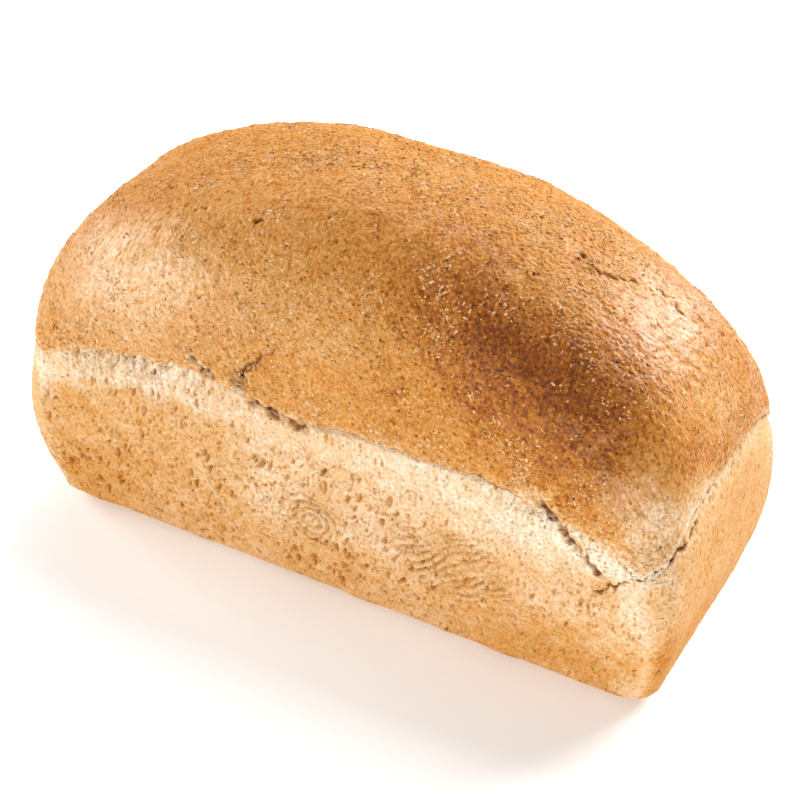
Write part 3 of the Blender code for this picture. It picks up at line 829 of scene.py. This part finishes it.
# The crown is a square grid, its rings of squares carried to the dome's own rings above the shoulder.
u, v = np.meshgrid(
    np.linspace(-1, 1, CAP_ALONG + 1), np.linspace(-1, 1, CAP_ACROSS + 1), indexing="ij")
u, v = u.ravel(), v.ravel()
reach = np.maximum(np.maximum(np.abs(u), np.abs(v)), 1e-5)
edge_u, edge_v = u / reach, v / reach
quarter_share = np.where(
    np.abs(edge_u) >= np.abs(edge_v),
    np.abs(edge_v) * CAP_ACROSS,
    CAP_ACROSS + (1 - np.abs(edge_u)) * CAP_ALONG,
) / (CAP_ALONG + CAP_ACROSS)
quarter = np.where(v >= 0, np.where(u >= 0, 0, 1), np.where(u < 0, 2, 3))
cap_way = quarter + np.where(quarter % 2 == 1, 1 - quarter_share, quarter_share)
cap_way = np.clip(cap_way, quarter + 1e-9, quarter + 1 - 1e-9)
cap_rise = np.arccos(math.cos(SHOULDER - OVERLAP) * reach ** CAP_SPACING)
grid = np.arange(len(u)).reshape(CAP_ALONG + 1, CAP_ACROSS + 1)
crown_quads = np.stack([grid[:-1, :-1], grid[1:, :-1], grid[1:, 1:], grid[:-1, 1:]], axis=-1)
crown_edge = np.concatenate([grid[:-1, 0], grid[-1, :-1], grid[:0:-1, -1], grid[0, :0:-1]])
crown_skin = crust_piece(
    "dome_crown", dome_surface(cap_way, cap_rise), crown_quads.reshape(-1, 4), [crown_edge[::-1]],
    JOINT_SINK * (np.maximum(SHOULDER - cap_rise, 0.0) * RISE_LENGTH) ** 2, dome_fields, browned_crust)

# Bran flakes.
# Curled chips of wheat husk baked into the dome's skin, each standing up along one edge. They are thin and
# dry, nearly all of them paler than the crust, and lie in loose patches all over the dome.
FLAKE_COUNT, FLAKE_LONG, FLAKE_WIDE, FLAKE_THICK = 9000, (0.00060, 0.00240), (0.00045, 0.00130), 0.00016
FLAKE_TIP = (0.10, 0.50)
FLAKE_BROWNINGS, FLAKE_SHARES = (0.24, 0.36, 0.48, 0.85), (0.32, 0.32, 0.32, 0.04)
BARE_POINTS = 12 * SKIRT_COLUMNS          # rows of the skirt at the lip that carry no flakes

draw = np.random.default_rng(29)
crust_skin = np.concatenate([skirt_skin[BARE_POINTS:], crown_skin])
crust_normals = np.concatenate([
    outward(skirt_skin, tube_faces(len(skirt), SKIRT_COLUMNS))[BARE_POINTS:],
    outward(crown_skin, crown_quads.reshape(-1, 4))])
showing = np.concatenate([(skirt_sink == 0)[BARE_POINTS:], cap_rise > SHOULDER])
patchy = ramp(bumps(crust_skin, 0.022, 81), -0.9, 0.9) ** 2
patchy = showing * patchy * (0.5 + 0.5 * ramp(bumps(crust_skin, 0.007, 82), -0.5, 0.5))
spots = draw.choice(len(crust_skin), FLAKE_COUNT, replace=False, p=patchy / patchy.sum())
centres, upwards = crust_skin[spots], crust_normals[spots]
sideways = np.cross(upwards, draw.normal(size=(FLAKE_COUNT, 3)))
sideways /= np.linalg.norm(sideways, axis=1, keepdims=True)
tipped = upwards + sideways * draw.uniform(*FLAKE_TIP, (FLAKE_COUNT, 1))
tipped /= np.linalg.norm(tipped, axis=1, keepdims=True)
lengthways = np.cross(tipped, sideways)
lengthways /= np.linalg.norm(lengthways, axis=1, keepdims=True)
widthways = np.cross(lengthways, tipped)
size = draw.uniform(0, 1, (FLAKE_COUNT, 1)) ** 2
half_long = 0.5 * (FLAKE_LONG[0] + (FLAKE_LONG[1] - FLAKE_LONG[0]) * size)
half_wide = 0.5 * (FLAKE_WIDE[0] + (FLAKE_WIDE[1] - FLAKE_WIDE[0]) * draw.uniform(0, 1, (FLAKE_COUNT, 1)))
rim = []
for corner in range(6):
    around = math.pi / 3 * corner
    uneven = draw.uniform(0.7, 1.2, (FLAKE_COUNT, 1))
    rim.append(centres + uneven * (
        math.cos(around) * half_long * lengthways + math.sin(around) * half_wide * widthways))
flake_points = np.stack(
    rim + [centres + FLAKE_THICK * tipped, centres - FLAKE_THICK * tipped], axis=1).reshape(-1, 3)
flake_points = np.clip(flake_points, np.array(cad_low), np.array(cad_high))
one_flake = [(corner, (corner + 1) % 6, 6) for corner in range(6)]
one_flake += [((corner + 1) % 6, corner, 7) for corner in range(6)]
flake_faces = (np.arange(FLAKE_COUNT)[:, None, None] * 8 + np.array(one_flake)).reshape(-1, 3)
flake_mesh = bpy.data.meshes.new("bran_flakes")
flake_mesh.from_pydata(flake_points.tolist(), [], flake_faces.tolist())
flake_bake = np.repeat(draw.choice(FLAKE_BROWNINGS, FLAKE_COUNT, p=FLAKE_SHARES), 8)
write_fields(flake_mesh, flake_bake, 0 * flake_bake, 0 * flake_bake)
flake_mesh.materials.append(browned_crust)
bran_flakes = bpy.data.objects.new("bran_flakes", flake_mesh)
bpy.context.scene.collection.objects.link(bran_flakes)
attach(bran_flakes, "root")
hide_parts("loaf")

# Floor and light.
# A plain pale sweep of card, lit by six soft boxes: one at the left end, small low ones before both front
# corners, one behind the right end, one high behind, and a weak one behind the left end.
floor_mesh = bpy.data.meshes.new("studio_floor")
floor_mesh.from_pydata([(-6, -6, 0), (6, -6, 0), (6, 6, 0), (-6, 6, 0)], [], [(0, 1, 2, 3)])
floor = bpy.data.objects.new("studio_floor", floor_mesh)
bpy.context.scene.collection.objects.link(floor)
card = bpy.data.materials.new("pale_card")
card.use_nodes = True
card_shader = card.node_tree.nodes["Principled BSDF"]
card_shader.inputs["Base Color"].default_value = linear("F7F7F7")
card_shader.inputs["Roughness"].default_value = 1.0
card_shader.inputs["Specular IOR Level"].default_value = 0.0
card_shader.inputs["Emission Color"].default_value = (1.0, 1.0, 1.0, 1.0)
card_shader.inputs["Emission Strength"].default_value = 0.22
floor.data.materials.append(card)

world = bpy.data.worlds.new("studio")
world.use_nodes = True
world.node_tree.nodes["Background"].inputs["Color"].default_value = (1.0, 1.0, 1.0, 1.0)
world.node_tree.nodes["Background"].inputs["Strength"].default_value = 0.02
bpy.context.scene.world = world

LIGHT_DISTANCE, LIGHT_AIM = 1.1, Vector((0, 0, 0.08))


def soft_box(name, azimuth, elevation, width, height, watts):
    """A rectangular area light in a direction from the loaf, with azimuth 0 at -Y and 90 at +X."""
    data = bpy.data.lights.new(name, "AREA")
    data.shape, data.size, data.size_y = "RECTANGLE", width, height
    data.energy = watts
    lamp = bpy.data.objects.new(name, data)
    turn, lift = math.radians(azimuth), math.radians(elevation)
    away = Vector((math.sin(turn) * math.cos(lift), -math.cos(turn) * math.cos(lift), math.sin(lift)))
    lamp.location = LIGHT_AIM + away * LIGHT_DISTANCE
    lamp.rotation_euler = (-away).to_track_quat("-Z", "Y").to_euler()
    bpy.context.scene.collection.objects.link(lamp)


soft_box("left_end_box", -85, 22, 0.6, 0.5, 9.2)
soft_box("left_low_box", -42, 4, 0.5, 0.18, 5.3)
soft_box("right_low_box", 36, 8, 0.4, 0.20, 7.7)
soft_box("right_back_box", 150, 28, 0.6, 0.5, 15.8)
soft_box("top_back_box", 180, 62, 0.6, 0.5, 11.0)
soft_box("left_back_box", -140, 32, 0.7, 0.5, 2.2)

# Camera.
# Its place and turn come from the perspective fit of the loaf's outline to the photograph.
AZIMUTH, ELEVATION, ROLL = math.radians(27.77), math.radians(36.74), math.radians(1.28)
DISTANCE, FOCAL_PIXELS, PICTURE_PIXELS = 0.7792, 2047.7, 800
AIM = Vector((0.0016, 0.0002, 0.0636))
back = Vector((
    math.sin(AZIMUTH) * math.cos(ELEVATION), -math.cos(AZIMUTH) * math.cos(ELEVATION), math.sin(ELEVATION)))
right = Vector((math.cos(AZIMUTH), math.sin(AZIMUTH), 0.0))
up = back.cross(right)
turned_right = right * math.cos(ROLL) + up * math.sin(ROLL)
turned_up = up * math.cos(ROLL) - right * math.sin(ROLL)
camera_data = bpy.data.cameras.new("camera")
camera_data.sensor_width = 36.0
camera_data.lens = FOCAL_PIXELS / PICTURE_PIXELS * camera_data.sensor_width
camera = bpy.data.objects.new("camera", camera_data)
turn = Matrix((turned_right, turned_up, back)).transposed()
camera.matrix_world = Matrix.Translation(AIM + back * DISTANCE) @ turn.to_4x4()
bpy.context.scene.collection.objects.link(camera)
bpy.context.scene.camera = camera
bpy.context.scene.view_settings.view_transform = "Standard"
